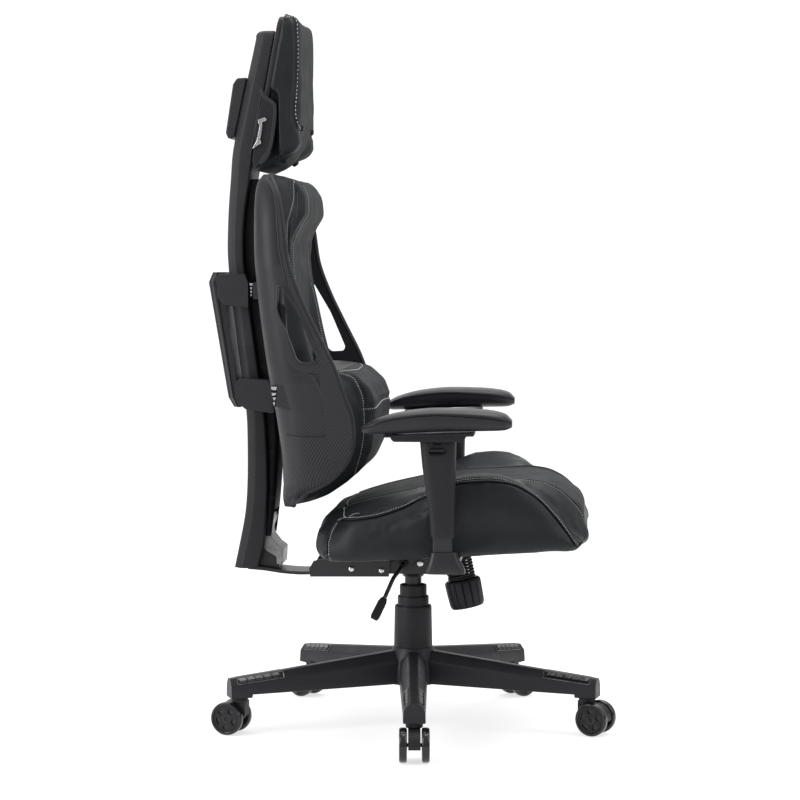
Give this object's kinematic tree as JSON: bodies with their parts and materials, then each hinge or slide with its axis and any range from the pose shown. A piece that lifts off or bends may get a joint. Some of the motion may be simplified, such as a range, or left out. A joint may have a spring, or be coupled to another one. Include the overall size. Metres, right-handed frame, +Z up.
{
  "type": "gaming chair",
  "caption": "High-back gaming chair: star base on twin casters, gas lift, tilting seat, sprung back shell on a curved spine, sliding headrest and adjustable armrests.",
  "frame": {"origin": "on the floor, on the gas column's axis, which is within 4 mm of the middle of the bounding box", "axes": "+Z up, -Y the way the sitter faces, -X the sitter's right"},
  "size_m": [0.749, 0.7461, 1.2955],
  "materials": {
    "nylon": "satin",
    "carbon_plastic": "satin",
    "leather": "satin",
    "rubber": "matte",
    "tread": "gloss",
    "steel": "satin",
    "aluminium": "satin",
    "chrome": "polished",
    "board": "matte"
  },
  "bodies": {
    "base": {"base_star": "nylon", "gas_stand_tube": "steel", "cover_lower": "nylon"},
    "caster_1": {"caster_housing_1": "nylon"},
    "wheel_1a": {"caster_wheel_1a": "tread"},
    "wheel_1b": {"caster_wheel_1b": "tread"},
    "caster_2": {"caster_housing_2": "nylon"},
    "wheel_2a": {"caster_wheel_2a": "tread"},
    "wheel_2b": {"caster_wheel_2b": "tread"},
    "caster_3": {"caster_housing_3": "nylon"},
    "wheel_3a": {"caster_wheel_3a": "tread"},
    "wheel_3b": {"caster_wheel_3b": "tread"},
    "caster_4": {"caster_housing_4": "nylon"},
    "wheel_4a": {"caster_wheel_4a": "tread"},
    "wheel_4b": {"caster_wheel_4b": "tread"},
    "caster_5": {"caster_housing_5": "nylon"},
    "wheel_5a": {"caster_wheel_5a": "tread"},
    "wheel_5b": {"caster_wheel_5b": "tread"},
    "cover_middle": {"cover_middle": "nylon"},
    "cover_upper": {"cover_upper": "nylon"},
    "piston": {"gas_piston_rod": "chrome"},
    "mechanism": {"gas_pressure_tube": "steel", "tilt_housing": "steel", "tilt_pivot_pin": "chrome", "tension_spring": "steel"},
    "lever_bush": {"lever_bush": "rubber"},
    "lever": {"lever_rod": "steel", "lever_grip": "nylon"},
    "seat": {"seat_plate": "steel", "seat_pan": "board", "seat_cushion": "leather", "back_bar": "steel", "spine_bracket": "aluminium", "spine_rear_cover": "carbon_plastic", "spine_front_cover": "nylon", "back_brace": "nylon", "clamp_upper": "carbon_plastic", "clamp_lower": "carbon_plastic", "flex_spring_left": "chrome", "flex_spring_right": "chrome", "arm_foot_left": "steel", "arm_foot_right": "steel", "tension_bolt": "steel"},
    "tension_knob": {"tension_knob": "nylon"},
    "back": {"back_shell": "carbon_plastic", "back_cushion": "leather", "lumbar_cushion": "leather"},
    "headrest_slider": {"headrest_slider": "carbon_plastic", "headrest_bracket": "nylon"},
    "headrest": {"headrest_shell": "carbon_plastic", "headrest_cushion": "leather"},
    "headrest_lever": {"headrest_lever": "chrome"},
    "arm_right": {"arm_sleeve_right": "nylon"},
    "trigger_right": {"arm_trigger_right": "nylon"},
    "carriage_right": {"arm_carriage_right": "nylon"},
    "pad_right": {"arm_pad_right": "rubber"},
    "arm_left": {"arm_sleeve_left": "nylon"},
    "trigger_left": {"arm_trigger_left": "nylon"},
    "carriage_left": {"arm_carriage_left": "nylon"},
    "pad_left": {"arm_pad_left": "rubber"}
  },
  "joints": [
    {"name": "caster_swivel_1", "type": "hinge", "parent": "base", "child": "caster_1", "pos_m": [-0.32898, -0.02589, 0.078], "axis": [0, 0, 1], "continuous": true},
    {"name": "wheel_spin_1a", "type": "hinge", "parent": "caster_1", "child": "wheel_1a", "pos_m": [-0.34593, -0.02722, 0.03], "axis": [0.0785, -0.9969, 0], "continuous": true},
    {"name": "wheel_spin_1b", "type": "hinge", "parent": "caster_1", "child": "wheel_1b", "pos_m": [-0.34593, -0.02722, 0.03], "axis": [0.0785, -0.9969, 0], "continuous": true},
    {"name": "caster_swivel_2", "type": "hinge", "parent": "base", "child": "caster_2", "pos_m": [-0.07704, -0.32088, 0.078], "axis": [0, 0, 1], "continuous": true},
    {"name": "wheel_spin_2a", "type": "hinge", "parent": "caster_2", "child": "wheel_2a", "pos_m": [-0.08382, -0.33647, 0.03], "axis": [0.9171, -0.3987, 0], "continuous": true},
    {"name": "wheel_spin_2b", "type": "hinge", "parent": "caster_2", "child": "wheel_2b", "pos_m": [-0.08382, -0.33647, 0.03], "axis": [0.9171, -0.3987, 0], "continuous": true},
    {"name": "caster_swivel_3", "type": "hinge", "parent": "base", "child": "caster_3", "pos_m": [0.28137, -0.17242, 0.078], "axis": [0, 0, 1], "continuous": true},
    {"name": "wheel_spin_3a", "type": "hinge", "parent": "caster_3", "child": "wheel_3a", "pos_m": [0.29264, -0.18516, 0.03], "axis": [0.749, 0.6626, 0], "continuous": true},
    {"name": "wheel_spin_3b", "type": "hinge", "parent": "caster_3", "child": "wheel_3b", "pos_m": [0.29264, -0.18516, 0.03], "axis": [0.749, 0.6626, 0], "continuous": true},
    {"name": "caster_swivel_4", "type": "hinge", "parent": "base", "child": "caster_4", "pos_m": [0.25093, 0.21432, 0.078], "axis": [0, 0, 1], "continuous": true},
    {"name": "wheel_spin_4a", "type": "hinge", "parent": "caster_4", "child": "wheel_4a", "pos_m": [0.26007, 0.22866, 0.03], "axis": [-0.8434, 0.5373, 0], "continuous": true},
    {"name": "wheel_spin_4b", "type": "hinge", "parent": "caster_4", "child": "wheel_4b", "pos_m": [0.26007, 0.22866, 0.03], "axis": [-0.8434, 0.5373, 0], "continuous": true},
    {"name": "caster_swivel_5", "type": "hinge", "parent": "base", "child": "caster_5", "pos_m": [-0.12629, 0.30488, 0.078], "axis": [0, 0, 1], "continuous": true},
    {"name": "wheel_spin_5a", "type": "hinge", "parent": "caster_5", "child": "wheel_5a", "pos_m": [-0.12174, 0.32126, 0.03], "axis": [-0.9636, 0.2672, 0], "continuous": true},
    {"name": "wheel_spin_5b", "type": "hinge", "parent": "caster_5", "child": "wheel_5b", "pos_m": [-0.12174, 0.32126, 0.03], "axis": [-0.9636, 0.2672, 0], "continuous": true},
    {"name": "cover_middle_rise", "type": "slide", "parent": "base", "child": "cover_middle", "axis": [0, 0, 1], "range_m": [0, 0.04]},
    {"name": "cover_upper_rise", "type": "slide", "parent": "base", "child": "cover_upper", "axis": [0, 0, 1], "range_m": [0, 0.08]},
    {"name": "seat_swivel", "type": "hinge", "parent": "base", "child": "piston", "pos_m": [0, 0, 0.0955], "axis": [0, 0, 1], "continuous": true},
    {"name": "gas_lift", "type": "slide", "parent": "piston", "child": "mechanism", "axis": [0, 0, 1], "range_m": [0, 0.08]},
    {"name": "lever_lift", "type": "hinge", "parent": "mechanism", "child": "lever_bush", "pos_m": [-0.055, 0.014, 0.303], "axis": [0, 1, 0], "range_deg": [0, 10], "stiffness_Nm_per_rad": 0.6, "springref_deg": -8.59},
    {"name": "lever_pull", "type": "slide", "parent": "lever_bush", "child": "lever", "axis": [-1, 0, 0], "range_m": [0, 0.012]},
    {"name": "seat_tilt", "type": "hinge", "parent": "mechanism", "child": "seat", "pos_m": [0, -0.014, 0.301], "axis": [-1, 0, 0], "range_deg": [0, 12], "stiffness_Nm_per_rad": 150, "springref_deg": -14.32, "deforming": ["tension_spring"]},
    {"name": "tension_turn", "type": "hinge", "parent": "seat", "child": "tension_knob", "pos_m": [0, -0.0904, 0.26829], "axis": [0, -0.2079, -0.9781], "continuous": true},
    {"name": "back_flex", "type": "hinge", "parent": "seat", "child": "back", "pos_m": [0, 0.283, 0.8], "axis": [1, 0, 0], "range_deg": [0, 1.8], "stiffness_Nm_per_rad": 900, "springref_deg": -1.03, "deforming": ["flex_spring_left", "flex_spring_right"]},
    {"name": "headrest_rise", "type": "slide", "parent": "seat", "child": "headrest_slider", "axis": [0, -0.1849, 0.9828], "range_m": [0, 0.05]},
    {"name": "headrest_tilt", "type": "hinge", "parent": "headrest_slider", "child": "headrest", "pos_m": [0, 0.2585, 1.045], "axis": [1, 0, 0], "range_deg": [0, 12]},
    {"name": "headrest_lock", "type": "hinge", "parent": "headrest_slider", "child": "headrest_lever", "pos_m": [-0.1185, 0.272, 1.056], "axis": [-1, 0, 0], "range_deg": [0, 30]},
    {"name": "arm_height_right", "type": "slide", "parent": "seat", "child": "arm_right", "axis": [0, 0, 1], "range_m": [-0.022, 0.055]},
    {"name": "arm_button_right", "type": "slide", "parent": "arm_right", "child": "trigger_right", "axis": [0, 0, 1], "range_m": [0, 0.004], "stiffness_N_per_m": 150, "springref_m": -0.003},
    {"name": "arm_turn_right", "type": "hinge", "parent": "arm_right", "child": "carriage_right", "pos_m": [-0.3, -0.0725, 0.5485], "axis": [0, 0, 1], "range_deg": [-15, 15]},
    {"name": "arm_pad_slide_right", "type": "slide", "parent": "carriage_right", "child": "pad_right", "axis": [0, 1, 0], "range_m": [-0.025, 0.025]},
    {"name": "arm_height_left", "type": "slide", "parent": "seat", "child": "arm_left", "axis": [0, 0, 1], "range_m": [-0.022, 0.055]},
    {"name": "arm_button_left", "type": "slide", "parent": "arm_left", "child": "trigger_left", "axis": [0, 0, 1], "range_m": [0, 0.004], "stiffness_N_per_m": 150, "springref_m": -0.003},
    {"name": "arm_turn_left", "type": "hinge", "parent": "arm_left", "child": "carriage_left", "pos_m": [0.3, -0.0575, 0.5485], "axis": [0, 0, 1], "range_deg": [-15, 15]},
    {"name": "arm_pad_slide_left", "type": "slide", "parent": "carriage_left", "child": "pad_left", "axis": [0, 1, 0], "range_m": [-0.025, 0.025]}
  ],
  "couplings": [
    {"joint": "cover_middle_rise", "follows": "gas_lift", "ratio": 0.5},
    {"joint": "cover_upper_rise", "follows": "gas_lift", "ratio": 1}
  ]
}
